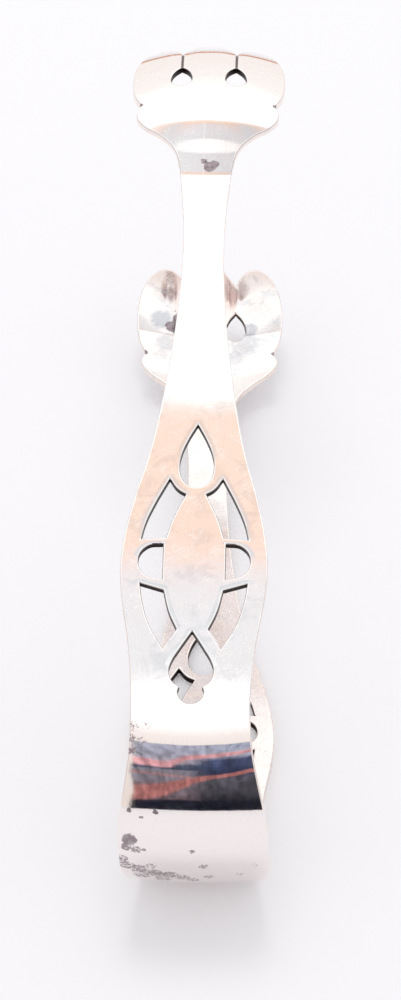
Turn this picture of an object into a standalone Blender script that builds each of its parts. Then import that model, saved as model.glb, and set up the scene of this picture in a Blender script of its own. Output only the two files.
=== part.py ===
"""Ice tongs: a sprung bow and two pierced arms, each ending in a lobed claw.

Each piece starts as a flat blank, cut with its outline and piercings, and is then
formed along the strip's side profile. The tongs lie on the lower arm, with the bow
towards -Y, the claws towards +Y and the mid-plane of the strip at x = 0.
"""

import math

import bmesh
import bpy
import numpy as np
from mathutils import Vector

MM = 0.001

# The strip and its side profile. A run is a distance along the outer face, measured
# from where the bow's round ends and the arm's straight begins.
THICKNESS = 1.4 * MM
BOW_RADIUS = 19.8 * MM
ARM_SPLAY = math.radians(8.7)
NECK_SPLAY = math.radians(4.9)
HEEL_SPLAY = math.radians(10.5)
TIP_SPLAY = math.radians(-35.5)
ARM_STRAIGHT = 58.0 * MM
NECK_BEND = 18.0 * MM
NECK_STRAIGHT = 38.2 * MM
HEEL_BEND = 7.5 * MM
CLAW_CURL = 28.8 * MM
BOW_RUN = BOW_RADIUS * (math.pi / 2 - ARM_SPLAY)
PLAIN_BENDS = (
    (ARM_STRAIGHT, ARM_SPLAY),
    (NECK_BEND, NECK_SPLAY),
    (NECK_STRAIGHT, NECK_SPLAY),
    (HEEL_BEND, HEEL_SPLAY),
    (CLAW_CURL, TIP_SPLAY),
)

# Hand forming: where the real bends are crisper or slacker than the plain bends, as
# (run in millimetres, degrees). The first adds to the lean, and the second gives it.
SETTLE = (
    (-18.0, 0.0),
    (-14.0, -0.3),
    (-10.0, -0.6),
    (-5.0, 0.0),
    (-2.0, 1.1),
    (0.0, 1.6),
    (2.0, 1.45),
    (3.5, 1.0),
    (5.0, 0.68),
    (7.2, 0.5),
    (10.5, 0.36),
    (17.0, 0.3),
    (22.0, 0.2),
    (26.0, 0.05),
    (30.0, -0.15),
    (34.0, -0.25),
    (56.0, -0.25),
    (66.0, -0.1),
    (74.0, 0.0),
)
HEEL_LEAN = (
    (76.0, 4.9),
    (79.0, 3.4),
    (110.4, 3.4),
    (111.5, 4.1),
    (112.4, 8.1),
    (113.0, 10.9),
    (113.6, 11.5),
    (118.0, 11.65),
    (121.4, 11.75),
    (122.9, 11.5),
    (123.6, 11.35),
    (124.1, 10.8),
    (124.8, 8.5),
    (126.2, 4.8),
    (127.4, 1.9),
    (129.0, -1.5),
    (133.1, -6.6),
    (133.6, -10.4),
    (138.0, -12.4),
    (143.0, -18.5),
    (146.5, -26.2),
    (149.0, -32.2),
    (152.5, -40.0),
)
SAMPLE = 0.02
SMOOTHING = 31

# How far the strip's edges drop below its middle: the share of the squared width.
BOW_DOME = 5.0
CLAW_DISH = 12.0
DISH_START = 110.0 * MM
DISH_FULL = 124.0 * MM
DOME_END = 3.0 * MM

# The bow is wound a little off square, so the arms start this far to either side of
# the middle and lean back until the claws face each other.
SKEW = 0.85 * MM
SKEW_END = 135.0 * MM

# Where one piece ends and the next begins, with the gap between them.
BOW_END = -1.3 * MM
CLAW_START = 112.0 * MM
GAP = 0.3 * MM

# The flexing bow turns the upper arm about its elastic centre.
BOW_CENTRE = Vector((0.0, -64.285 * MM, BOW_RADIUS + 0.001 * MM))
FLEX_OFFSET = 12.2 * MM
FLEX_CENTRE = BOW_CENTRE - FLEX_OFFSET * Vector((0.0, math.cos(ARM_SPLAY), math.sin(ARM_SPLAY)))

# Spacing of the cuts that let a blank follow its curves.
BOW_STEP = 1.7 * MM
CLAW_STEP = 1.9 * MM
NECK_STEP = 4.5 * MM
ACROSS_STEP = 2.5 * MM
CURVE_STEPS = 4
FLAT_WITHIN = math.radians(0.5)

# Half outlines in millimetres, as (across, run). A third value marks a corner.
CORNER = True
BOW_EDGE = (
    (10.05, -2.4),
    (10.35, -7.6),
    (11.1, -12.4),
    (12.0, -17.6),
    (12.55, -23.0),
    (12.6, -27.8),
)
ARM_EDGE = (
    (10.05, 2.0),
    (10.25, 6.0),
    (10.95, 13.2),
    (12.1, 21.0),
    (12.55, 27.0),
    (12.05, 33.5),
    (10.6, 41.2),
    (8.35, 50.2),
    (6.35, 61.7),
    (4.8, 74.6),
    (4.05, 84.0),
    (3.65, 95.0),
    (3.9, 104.0),
)
CLAW_EDGE = (
    (4.75, 114.0),
    (5.9, 118.3),
    (8.4, 121.4),
    (11.7, 124.2),
    (12.9, 127.0),
    (12.25, 129.8, CORNER),
    (13.45, 133.0),
    (13.9, 137.5),
    (13.6, 142.0),
    (12.6, 145.9),
    (10.9, 148.7),
    (8.6, 149.9),
    (6.35, 148.9),
    (4.95, 146.4, CORNER),
    (3.5, 149.1),
    (2.1, 150.5),
)
ARM_BOW_HALF_WIDTH = 10.05
ARM_CLAW_HALF_WIDTH = 4.55
CENTRE_LOBE_TIP = 150.95

# Piercings on the middle line, as the right half from tip to foot.
LARGE_DROP = ((2.0, 11.4), (3.3, 8.9), (3.7, 7.0), (3.2, 5.2), (1.9, 4.0, CORNER), (2.15, 2.9), (1.4, 1.4))
LARGE_DROP_TIP = 14.8
LARGE_DROP_FOOT = 0.85
SMALL_DROP = ((1.55, 53.2), (2.6, 50.2), (2.9, 47.6), (2.3, 45.0), (1.1, 43.8))
SMALL_DROP_TIP = 56.4
SMALL_DROP_FOOT = 43.6

# Piercings to one side of the middle, each with a twin on the other side.
SIDE_PIERCINGS = (
    (
        (4.55, 45.25, CORNER),
        (6.9, 40.2),
        (8.4, 36.2),
        (9.1, 33.0, CORNER),
        (4.95, 33.3, CORNER),
        (3.9, 37.0),
        (1.75, 42.2, CORNER),
        (3.2, 43.2),
    ),
    (
        (5.35, 32.1, CORNER),
        (8.0, 31.6),
        (9.5, 28.7),
        (8.2, 25.9),
        (5.35, 25.0, CORNER),
    ),
    (
        (5.1, 22.9, CORNER),
        (9.1, 24.2, CORNER),
        (8.5, 20.2),
        (7.2, 15.8),
        (4.9, 11.5, CORNER),
        (2.7, 15.2, CORNER),
        (4.1, 18.6),
    ),
)
CLAW_HOLE = (
    (4.95, 140.4, CORNER),
    (6.1, 138.9),
    (6.75, 137.0),
    (6.7, 135.4),
    (5.85, 134.35),
    (4.95, 134.0),
    (4.05, 134.35),
    (3.2, 135.4),
    (3.15, 137.0),
    (3.8, 138.9),
)

SILVER = (0.82, 0.79, 0.76, 1.0)
PIECE_ROUGHNESS = {
    "bow_spring": 0.12,
    "lower_arm": 0.2,
    "upper_arm": 0.22,
    "lower_claw": 0.18,
    "upper_claw": 0.16,
}


def clear_scene():
    for obj in list(bpy.data.objects):
        bpy.data.objects.remove(obj, do_unlink=True)
    for collection in list(bpy.data.collections):
        bpy.data.collections.remove(collection)


def smooth_share(value, low, high):
    share = min(1.0, max(0.0, (value - low) / (high - low)))
    return share * share * (3.0 - 2.0 * share)


def path_table(settle_share):
    """Fine samples of the run, the lean, and the distances along and out, in metres."""
    run = np.arange(-BOW_RUN / MM - 1.0, 156.0, SAMPLE)
    lean = ARM_SPLAY - np.minimum(run, 0.0) * MM / BOW_RADIUS
    start = 0.0
    level = ARM_SPLAY
    for length, end in PLAIN_BENDS:
        share = np.minimum((run - start) * MM / length, 1.0)
        if end == TIP_SPLAY:
            share = (run - start) * MM / length
        lean = np.where(run > start, level + (end - level) * share, lean)
        start += length / MM
        level = end
    settle = np.array(SETTLE).T
    lean = lean + settle_share * np.radians(np.interp(run, settle[0], settle[1]))
    heel = np.array(HEEL_LEAN).T
    in_heel = (run > heel[0, 0]) & (run < heel[0, -1])
    lean = np.where(in_heel, np.radians(np.interp(run, heel[0], heel[1])), lean)
    edge = SMOOTHING // 2
    lean = np.convolve(np.pad(lean, edge, "edge"), np.ones(SMOOTHING) / SMOOTHING, "valid")
    along = np.concatenate([[0.0], np.cumsum((np.cos(lean[1:]) + np.cos(lean[:-1])) / 2.0)])
    out = np.concatenate([[0.0], np.cumsum((np.sin(lean[1:]) + np.sin(lean[:-1])) / 2.0)])
    along *= SAMPLE * MM
    out *= SAMPLE * MM
    run *= MM
    along += -BOW_RADIUS - np.interp(-BOW_RUN, run, along)
    out -= np.interp(-BOW_RUN, run, out)
    return run, along, out, lean


# The lower half keeps the plain bends as far as its neck, so it lies flat.
PATHS = {1: path_table(1.0), -1: path_table(0.0)}


def strip_path(side, run):
    """How far along the mid-plane and out from it the outer face is at a run, and its lean."""
    path = PATHS[side]
    return tuple(float(np.interp(run, path[0], column)) for column in path[1:])


def edge_drop(run, across):
    dome = BOW_DOME * (1.0 - smooth_share(run, -BOW_RUN / 2.0, DOME_END))
    dish = CLAW_DISH * smooth_share(run, DISH_START, DISH_FULL)
    return (dome + dish) * across * across


def skewed(side, run):
    if run < 0.0:
        return -side * SKEW * (1.0 + run / BOW_RUN)
    return -side * SKEW * (1.0 - run / SKEW_END)


def formed(side, across, run, depth):
    """Where a point of a blank ends up: side is 1 for the upper arm and -1 for the lower."""
    along, out, lean = strip_path(side, run)
    drop = depth + edge_drop(run, across)
    along += drop * math.sin(lean)
    out -= drop * math.cos(lean)
    y = along * math.cos(ARM_SPLAY) - side * out * math.sin(ARM_SPLAY)
    z = along * math.sin(ARM_SPLAY) + side * out * math.cos(ARM_SPLAY)
    return BOW_CENTRE + Vector((across + skewed(side, run), y, z))


def add_spline(curve, points):
    spline = curve.splines.new("BEZIER")
    spline.bezier_points.add(len(points) - 1)
    for knot, point in zip(spline.bezier_points, points):
        knot.co = (point[0] * MM, point[1] * MM, 0.0)
        kind = "VECTOR" if len(point) > 2 else "AUTO"
        knot.handle_left_type = kind
        knot.handle_right_type = kind
    spline.use_cyclic_u = True


def mirrored(points):
    return [(-point[0],) + tuple(point[1:]) for point in reversed(points)]


def blank(name, loops):
    """A flat plate of the strip's thickness, as a welded mesh."""
    curve = bpy.data.curves.new(name + "_outline", "CURVE")
    curve.dimensions = "2D"
    curve.fill_mode = "BOTH"
    curve.extrude = THICKNESS / 2.0
    curve.resolution_u = CURVE_STEPS
    for loop in loops:
        add_spline(curve, loop)
    holder = bpy.data.objects.new(name + "_outline", curve)
    bpy.context.scene.collection.objects.link(holder)
    bpy.context.view_layer.update()
    evaluated = holder.evaluated_get(bpy.context.evaluated_depsgraph_get())
    mesh = bpy.data.meshes.new_from_object(evaluated)
    bpy.data.objects.remove(holder, do_unlink=True)
    bpy.data.curves.remove(curve)
    plate = bmesh.new()
    plate.from_mesh(mesh)
    bpy.data.meshes.remove(mesh)
    bmesh.ops.remove_doubles(plate, verts=plate.verts, dist=0.002 * MM)
    bmesh.ops.dissolve_limit(plate, angle_limit=FLAT_WITHIN, verts=plate.verts, edges=plate.edges)
    return plate


def slice_plate(plate, axis, positions):
    normal = Vector((1.0, 0.0, 0.0)) if axis == 0 else Vector((0.0, 1.0, 0.0))
    for position in positions:
        bmesh.ops.bisect_plane(
            plate,
            geom=plate.verts[:] + plate.edges[:] + plate.faces[:],
            dist=0.003 * MM,
            plane_co=normal * position,
            plane_no=normal,
        )


def steps(low, high, spacing):
    count = max(1, round((high - low) / spacing))
    return [low + (high - low) * number / count for number in range(count + 1)]


def form_piece(name, plate, place, pivot, collection):
    bmesh.ops.triangulate(plate, faces=plate.faces[:])
    for vertex in plate.verts:
        vertex.co = place(vertex.co) - pivot
    bmesh.ops.recalc_face_normals(plate, faces=plate.faces[:])
    if plate.calc_volume(signed=True) < 0.0:
        bmesh.ops.reverse_faces(plate, faces=plate.faces[:])
    mesh = bpy.data.meshes.new(name)
    plate.to_mesh(mesh)
    plate.free()
    piece = bpy.data.objects.new(name, mesh)
    piece.location = pivot
    collection.objects.link(piece)
    return piece


def shade_round(piece):
    for polygon in piece.data.polygons:
        polygon.use_smooth = True
    piece.data.set_sharp_from_angle(angle=math.radians(30.0))


def paint(piece):
    material = bpy.data.materials.new(piece.name)
    material.use_nodes = True
    shader = material.node_tree.nodes["Principled BSDF"]
    shader.inputs["Base Color"].default_value = SILVER
    shader.inputs["Metallic"].default_value = 1.0
    shader.inputs["Roughness"].default_value = PIECE_ROUGHNESS[piece.name]
    piece.data.materials.append(material)


def half_width_line(edge, run_ends):
    """A closed outline from a right edge, squared off at both ends."""
    right = [(edge_point[0], edge_point[1]) for edge_point in edge]
    low, high = run_ends
    points = [(low[0], low[1], CORNER)] + right + [(high[0], high[1], CORNER)]
    return points + mirrored(points)


def make_bow(collection):
    apex = -BOW_RUN / MM
    end = BOW_END / MM
    upper = [(x, run) for x, run in reversed(BOW_EDGE)]
    lower = [(x, 2.0 * apex - run) for x, run in BOW_EDGE[:-1]]
    foot = (ARM_BOW_HALF_WIDTH, 2.0 * apex - end)
    head = (ARM_BOW_HALF_WIDTH, end)
    plate = blank("bow_spring", [half_width_line(lower + upper, (foot, head))])
    low = 2.0 * apex * MM - BOW_END
    slice_plate(plate, 1, steps(low, BOW_END, BOW_STEP)[1:-1])
    slice_plate(plate, 0, steps(-9.0 * MM, 9.0 * MM, 4.5 * MM))

    def place(point):
        depth = THICKNESS / 2.0 - point.z
        if point.y >= -BOW_RUN:
            return formed(1, point.x, point.y, depth)
        return formed(-1, point.x, -2.0 * BOW_RUN - point.y, depth)

    return form_piece("bow_spring", plate, place, Vector((0.0, 0.0, 0.0)), collection)


def drop_loop(tip, half, foot):
    right = list(half)
    return [(0.0, tip, CORNER)] + right + [(0.0, foot)] + mirrored(right)


def make_arm(name, side, pivot, collection):
    low = (BOW_END + GAP) / MM
    high = CLAW_START / MM
    ends = ((ARM_BOW_HALF_WIDTH, low), (ARM_CLAW_HALF_WIDTH, high))
    loops = [half_width_line(ARM_EDGE, ends)]
    loops.append(drop_loop(LARGE_DROP_TIP, LARGE_DROP, LARGE_DROP_FOOT))
    loops.append(drop_loop(SMALL_DROP_TIP, SMALL_DROP, SMALL_DROP_FOOT))
    for piercing in SIDE_PIERCINGS:
        loops.append(piercing)
        loops.append(mirrored(piercing))
    plate = blank(name, loops)
    slice_plate(plate, 1, (0.0, ARM_STRAIGHT))
    slice_plate(plate, 1, steps(ARM_STRAIGHT, CLAW_START, NECK_STEP)[1:-1])

    def place(point):
        return formed(side, point.x, point.y, THICKNESS / 2.0 - point.z)

    return form_piece(name, plate, place, pivot, collection)


def make_claw(name, side, pivot, collection):
    low = (CLAW_START + GAP) / MM
    right = [(ARM_CLAW_HALF_WIDTH, low, CORNER)] + list(CLAW_EDGE)
    loops = [right + [(0.0, CENTRE_LOBE_TIP)] + mirrored(right)]
    loops.append(CLAW_HOLE)
    loops.append(mirrored(CLAW_HOLE))
    plate = blank(name, loops)
    top = CENTRE_LOBE_TIP * MM
    slice_plate(plate, 1, steps(CLAW_START + GAP, top, CLAW_STEP)[1:-1])
    reach = 5.5 * ACROSS_STEP
    slice_plate(plate, 0, steps(-reach, reach, ACROSS_STEP))

    def place(point):
        return formed(side, point.x, point.y, THICKNESS / 2.0 - point.z)

    return form_piece(name, plate, place, pivot, collection)


def main():
    clear_scene()
    collection = bpy.data.collections.new("ice_tongs")
    bpy.context.scene.collection.children.link(collection)
    origin = Vector((0.0, 0.0, 0.0))
    pieces = [
        make_bow(collection),
        make_arm("lower_arm", -1, origin, collection),
        make_claw("lower_claw", -1, origin, collection),
        make_arm("upper_arm", 1, FLEX_CENTRE, collection),
        make_claw("upper_claw", 1, FLEX_CENTRE, collection),
    ]
    for piece in pieces:
        shade_round(piece)
        paint(piece)


main()
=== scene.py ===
import math

import bpy
import numpy as np
from mathutils import Matrix, Vector
from mathutils.geometry import delaunay_2d_cdt


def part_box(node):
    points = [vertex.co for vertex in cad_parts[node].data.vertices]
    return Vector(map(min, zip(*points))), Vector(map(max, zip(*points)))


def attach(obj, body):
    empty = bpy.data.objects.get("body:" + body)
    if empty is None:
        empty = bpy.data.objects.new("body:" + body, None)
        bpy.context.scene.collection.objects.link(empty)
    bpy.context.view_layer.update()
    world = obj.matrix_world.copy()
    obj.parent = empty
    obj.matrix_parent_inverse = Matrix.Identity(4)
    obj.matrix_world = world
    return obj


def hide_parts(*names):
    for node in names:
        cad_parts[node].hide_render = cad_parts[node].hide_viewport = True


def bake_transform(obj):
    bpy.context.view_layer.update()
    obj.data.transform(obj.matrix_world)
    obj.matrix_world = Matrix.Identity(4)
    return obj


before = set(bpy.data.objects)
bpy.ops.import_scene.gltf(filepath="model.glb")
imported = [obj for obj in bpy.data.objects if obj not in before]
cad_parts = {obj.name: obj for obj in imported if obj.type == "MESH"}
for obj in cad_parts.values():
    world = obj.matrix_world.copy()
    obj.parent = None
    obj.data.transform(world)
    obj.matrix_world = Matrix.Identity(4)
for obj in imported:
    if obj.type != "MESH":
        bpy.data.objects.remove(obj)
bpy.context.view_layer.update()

MM = 0.001
IMAGE_LONG_SIDE = 1000.0

# The strip's profile, as the CAD has it. Runs and widths here are in millimetres.
THICKNESS = 1.4
BOW_RADIUS = 19.8
ARM_SPLAY = math.radians(8.7)
BOW_RUN = BOW_RADIUS * (math.pi / 2 - ARM_SPLAY)
BOW_DOME = 0.005
CLAW_DISH = 0.012
DISH_START = 110.0
DISH_FULL = 124.0
DOME_END = 3.0
SKEW = 0.85
SKEW_END = 135.0

# The lean outward along the strip, as (run, degrees), with what hand forming adds to the upper side's bow
# and to the lower side's claw.
STRIP_LEAN = (
    (58.0, 8.7), (76.0, 4.9), (79.0, 3.4), (110.4, 3.4), (111.5, 4.1), (112.4, 8.1), (113.0, 10.9),
    (113.6, 11.5), (118.0, 11.65), (121.4, 11.75), (122.9, 11.5), (123.6, 11.35), (124.1, 10.8),
    (124.8, 8.5), (126.2, 4.8), (127.4, 1.9), (129.0, -1.5), (133.0, -8.1), (138.0, -12.4),
    (143.0, -18.5), (146.5, -26.2), (149.0, -32.2), (152.5, -40.0),
)
BOW_SETTLE = (
    (-18.0, 0.0), (-14.0, -0.3), (-10.0, -0.6), (-5.0, 0.0), (-2.0, 1.1), (0.0, 1.6), (2.0, 1.45),
    (3.5, 1.2), (4.05, 1.14), (4.5, 0.72), (7.2, 0.5), (10.5, 0.36), (17.0, 0.3), (22.0, 0.2), (26.0, 0.05),
    (30.0, -0.15), (34.0, -0.25), (56.0, -0.25), (66.0, -0.1), (74.0, 0.0),
)
LOWER_BEND = ((128.5, 0.0), (134.9, 2.9), (135.5, -2.2), (139.5, 0.0))

# Seams between the pieces of one strip, and the hairline left in each.
BOW_SEAM = -1.15
CLAW_SEAM = 112.15
HAIRLINE = 0.01

CORNER = True
BOW_EDGE = (
    (10.05, -2.4), (10.35, -7.6), (11.1, -12.4), (12.0, -17.6), (12.55, -23.0), (12.6, -27.8),
)
ARM_EDGE = (
    (10.05, 2.0), (10.25, 6.0), (10.95, 13.2), (12.1, 21.0), (12.55, 27.0), (12.05, 33.5),
    (10.6, 41.2), (8.35, 50.2), (6.35, 61.7), (4.8, 74.6), (4.05, 84.0), (3.65, 95.0), (3.9, 104.0),
)
CLAW_EDGE = (
    (4.75, 114.0), (5.9, 118.3), (8.4, 121.4), (11.7, 124.2), (12.9, 127.0), (12.25, 129.8, CORNER),
    (13.448, 133.0), (13.898, 137.5), (13.598, 142.0), (12.6, 145.9), (10.9, 148.7), (8.6, 149.9),
    (6.35, 148.9), (4.95, 146.4, CORNER), (3.15, 148.9), (1.9, 150.4),
)
ARM_BOW_HALF_WIDTH = 10.05
ARM_CLAW_HALF_WIDTH = 4.55
CENTRE_LOBE_TIP = 150.95
LARGE_DROP = ((2.0, 11.4), (3.3, 8.9), (3.7, 7.0), (3.2, 5.2), (1.9, 4.0, CORNER), (2.15, 2.9), (1.4, 1.4))
LARGE_DROP_TIP = 14.8
LARGE_DROP_FOOT = 0.85
SMALL_DROP = ((1.55, 53.2), (2.6, 50.2), (2.9, 47.6), (2.3, 45.0), (1.1, 43.8))
SMALL_DROP_TIP = 56.4
SMALL_DROP_FOOT = 43.6
SIDE_PIERCINGS = (
    (
        (4.55, 45.25, CORNER), (6.9, 40.2), (8.4, 36.2), (9.1, 33.0, CORNER), (4.95, 33.3, CORNER),
        (3.9, 37.0), (1.75, 42.2, CORNER), (3.2, 43.2),
    ),
    ((5.35, 32.1, CORNER), (8.0, 31.6), (9.5, 28.7), (8.2, 25.9), (5.35, 25.0, CORNER)),
    (
        (5.1, 22.9, CORNER), (9.1, 24.2, CORNER), (8.5, 20.2), (7.2, 15.8), (4.9, 11.5, CORNER),
        (2.7, 15.2, CORNER), (4.1, 18.6),
    ),
)
CLAW_HOLE = (
    (4.95, 140.4, CORNER), (6.1, 138.9), (6.75, 137.0), (6.7, 135.4), (5.85, 134.35), (4.95, 134.0),
    (4.05, 134.35), (3.2, 135.4), (3.15, 137.0), (3.8, 138.9),
)

# Fineness of the profile's samples, and of the slopes taken from it.
PROFILE_STEP = 0.02
PROFILE_END = 156.0
BEND_SMOOTHING = 15
SLOPE_STEP = 0.02

# Mesh fineness, edge rounding and the engraved crease between two lobes.
LOOP_SPACING = 0.3
BOW_SPACING = 0.6
ARM_SPACING = 0.7
CLAW_SPACING = 0.6
CREASE_SPACING = 0.12
CREASE_BAND = (-0.48, 0.49)
EDGE_RADIUS = 0.3
EDGE_STEPS = 4
WALL_STEPS = 2
WALL_STARTS = (0.72, 0.97)
SHARP_TURN = 0.25
MITRE_LIMIT = 2.4
CROWDED = 0.93
# The painted grey border of reflection beside the piercings: how it fades, which side it takes, its points
# and its small tilt of the normals.
HALO_FADE = (0.82, 0.94)
HALO_FACING = (0.12, 0.3)
HALO_STEPS = (0.5, 0.7, 0.84, 0.96, 1.15)
HALO_TILT = math.radians(0.5)
CREASE_ACROSS = 4.95
CREASE_RUNS = (140.1, 146.6)
LOWER_FOLD_SHIFT = -1.6
CREASE_DEPTH = 0.3
CREASE_HALF_WIDTH = 0.24


# ---- the strip's shape

def smooth_share(value, low, high):
    share = np.clip((value - low) / (high - low), 0.0, 1.0)
    return share * share * (3.0 - 2.0 * share)


def table_at(run, table):
    """A lean, in radians, from a table of (run, degrees)."""
    runs, degrees = np.array(table).T
    return np.radians(np.interp(run, runs, degrees))


def profile_table(settle_share):
    """Fine samples of lean, distance along and distance out, from the bow's apex to the tip."""
    run = np.arange(-BOW_RUN - 1.0, PROFILE_END, PROFILE_STEP)
    lean = table_at(run, STRIP_LEAN) - np.minimum(run, 0.0) / BOW_RADIUS
    lean = lean + settle_share * table_at(run, BOW_SETTLE)
    lean = lean + (1.0 - settle_share) * table_at(run, LOWER_BEND)
    kernel = np.ones(2 * BEND_SMOOTHING + 1) / (2 * BEND_SMOOTHING + 1.0)
    lean = np.convolve(np.pad(lean, BEND_SMOOTHING, "edge"), kernel, "valid")
    step = run[1] - run[0]
    along = np.concatenate([[0.0], np.cumsum((np.cos(lean[1:]) + np.cos(lean[:-1])) / 2) * step])
    out = np.concatenate([[0.0], np.cumsum((np.sin(lean[1:]) + np.sin(lean[:-1])) / 2) * step])
    along += -BOW_RADIUS - np.interp(-BOW_RUN, run, along)
    out -= np.interp(-BOW_RUN, run, out)
    return run, lean, along, out


PROFILES = {1: profile_table(1.0), -1: profile_table(0.0)}


def bow_centre():
    """The centre of the bow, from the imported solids' boxes and the profile's own reach."""
    run, _, along, out = PROFILES[1]
    back = along * math.cos(ARM_SPLAY) - out * math.sin(ARM_SPLAY)
    bow_low, bow_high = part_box("bow_spring")
    reach = min(back[run >= -BOW_RUN].min(), -BOW_RADIUS)
    return (bow_low.x + bow_high.x) / 2 / MM, bow_low.y / MM - reach, BOW_RADIUS


BOW_CENTRE = bow_centre()


def waviness(side, across, run):
    """Slow unevenness left by hand finishing, in millimetres."""
    turn = 1.7 if side > 0 else 4.1
    wave = np.sin(run * 0.21 + turn + 0.35 * np.sin(across * 0.31 + turn))
    cross = np.sin(across * 0.52 + 0.8 * turn + run * 0.06)
    return 0.006 * wave + 0.005 * cross * np.cos(run * 0.13 + turn)


# A shallow step hammered into the heel, the folds between the lobes, and what polishing took off.
STEP_RISE = 0.07
STEP_RUNS = (116.7, 121.0)
STEP_HALF_WIDTH = 11.0
STEP_FADE = (123.5, 133.0)
LOBE_RUNS = (131.0, 144.0)
FOLD_DEPTH = 0.16
FOLD_WIDTH = 1.5
WAVE_RUNS = (6.0, 20.0)
FINISH = 0.03


def relief(side, across, run, share):
    """How far the surface stands above the plain strip. Share is 0 on the outer face and 1 on the inner."""
    raised = waviness(side, across, run) * smooth_share(run, *WAVE_RUNS) - FINISH
    step = np.maximum(0.0, 1.0 - (across / STEP_HALF_WIDTH) ** 2)
    fading = 1.0 - smooth_share(run, *STEP_FADE)
    raised = raised + STEP_RISE * step * smooth_share(run, *STEP_RUNS) * fading
    off_crease = np.abs(np.abs(across) - CREASE_ACROSS)
    lobes = smooth_share(run, *LOBE_RUNS)
    fold = np.abs(np.abs(across - LOWER_FOLD_SHIFT * (side < 0)) - CREASE_ACROSS)
    raised = raised - FOLD_DEPTH * lobes * np.exp(-((fold / FOLD_WIDTH) ** 2))
    along_crease = smooth_share(run, CREASE_RUNS[0] - 0.3, CREASE_RUNS[0] + 0.3)
    groove = np.clip(1.0 - off_crease / CREASE_HALF_WIDTH, 0.0, 1.0)
    return raised - CREASE_DEPTH * groove * along_crease * (1.0 - share) ** 2


def formed(side, across, run, depth, dish_run=None):
    """Places blank points (across, run, depth below the outer face) in space, in millimetres."""
    dish_run = run if dish_run is None else dish_run
    table_run, table_lean, table_along, table_out = PROFILES[side]
    lean = np.interp(run, table_run, table_lean)
    along = np.interp(run, table_run, table_along)
    out = np.interp(run, table_run, table_out)
    dome = BOW_DOME * (1.0 - smooth_share(run, -BOW_RUN / 2.0, DOME_END))
    dish = CLAW_DISH * smooth_share(dish_run, DISH_START, DISH_FULL)
    drop = depth + (dome + dish) * across ** 2 - relief(side, across, run, depth / THICKNESS)
    along = along + drop * np.sin(lean)
    out = out - drop * np.cos(lean)
    skew = np.where(run < 0.0, SKEW * (1.0 + run / BOW_RUN), SKEW * (1.0 - run / SKEW_END))
    x = BOW_CENTRE[0] + across - side * skew
    y = BOW_CENTRE[1] + along * math.cos(ARM_SPLAY) - side * out * math.sin(ARM_SPLAY)
    z = BOW_CENTRE[2] + along * math.sin(ARM_SPLAY) + side * out * math.cos(ARM_SPLAY)
    return np.stack([x, y, z], -1)


def placed(side, points, dish_run=None):
    """Blank points to space. Side 0 is the bow, whose lower half mirrors its upper half."""
    across, run, depth = points[:, 0], points[:, 1], points[:, 2]
    if side:
        return formed(side, across, run, depth, dish_run)
    upper = formed(1, across, run, depth)
    lower = formed(-1, across, -2.0 * BOW_RUN - run, depth)
    return np.where((run >= -BOW_RUN)[:, None], upper, lower)


def placed_normals(side, points, flat_normals):
    """Normals carried from the blank to the formed strip by the map's slopes, with the dish held still."""
    columns = []
    for axis in range(3):
        shift = np.zeros(3)
        shift[axis] = SLOPE_STEP
        ends = [placed(side, points + way * shift, points[:, 1]) for way in (1.0, -1.0)]
        columns.append((ends[0] - ends[1]) / (2 * SLOPE_STEP))
    slopes = np.stack(columns, -1)
    normals = np.linalg.solve(np.transpose(slopes, (0, 2, 1)), flat_normals[:, :, None])[:, :, 0]
    return normals / np.linalg.norm(normals, axis=1)[:, None]


# ---- the blank

def mirrored(points):
    return [(-point[0],) + tuple(point[1:]) for point in reversed(points)]


def loop_points(knots):
    """Evenly spaced points round a closed outline drawn through its knots, keeping each corner."""
    curve = bpy.data.curves.new("outline", "CURVE")
    curve.dimensions = "2D"
    curve.fill_mode = "NONE"
    curve.resolution_u = 24
    spline = curve.splines.new("BEZIER")
    spline.bezier_points.add(len(knots) - 1)
    for knot, point in zip(spline.bezier_points, knots):
        knot.co = (point[0], point[1], 0.0)
        kind = "VECTOR" if len(point) > 2 else "AUTO"
        knot.handle_left_type = kind
        knot.handle_right_type = kind
    spline.use_cyclic_u = True
    holder = bpy.data.objects.new("outline", curve)
    bpy.context.scene.collection.objects.link(holder)
    bpy.context.view_layer.update()
    graph = bpy.context.evaluated_depsgraph_get()
    mesh = bpy.data.meshes.new_from_object(holder.evaluated_get(graph))
    dense = np.array([vertex.co[:2] for vertex in mesh.vertices], float)
    bpy.data.objects.remove(holder)
    bpy.data.curves.remove(curve)
    bpy.data.meshes.remove(mesh)
    corners = [
        int(np.argmin(np.hypot(*(dense - np.array(point[:2])).T))) for point in knots if len(point) > 2
    ]
    starts = sorted(corners) or [0]
    found = []
    for number, start in enumerate(starts):
        end = starts[(number + 1) % len(starts)]
        if end <= start:
            end += len(dense)
        span = dense[np.arange(start, end + 1) % len(dense)]
        length = np.concatenate([[0.0], np.cumsum(np.hypot(*np.diff(span, axis=0).T))])
        count = max(2, round(length[-1] / LOOP_SPACING))
        wanted = np.linspace(0.0, length[-1], count + 1)[:-1]
        found.append(np.stack([np.interp(wanted, length, span[:, axis]) for axis in (0, 1)], -1))
    return np.concatenate(found)


def signed_area(loop):
    ahead = np.roll(loop, -1, axis=0)
    return float(np.sum(loop[:, 0] * ahead[:, 1] - ahead[:, 0] * loop[:, 1])) / 2.0


def inside(points, loop):
    """Which points lie inside a closed loop."""
    hit = np.zeros(len(points), bool)
    ahead = np.roll(loop, -1, axis=0)
    for (x0, y0), (x1, y1) in zip(loop, ahead):
        crosses = (y0 > points[:, 1]) != (y1 > points[:, 1])
        with np.errstate(divide="ignore", invalid="ignore"):
            at = x0 + (points[:, 1] - y0) * (x1 - x0) / (y1 - y0)
        hit ^= crosses & (points[:, 0] < at)
    return hit


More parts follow.
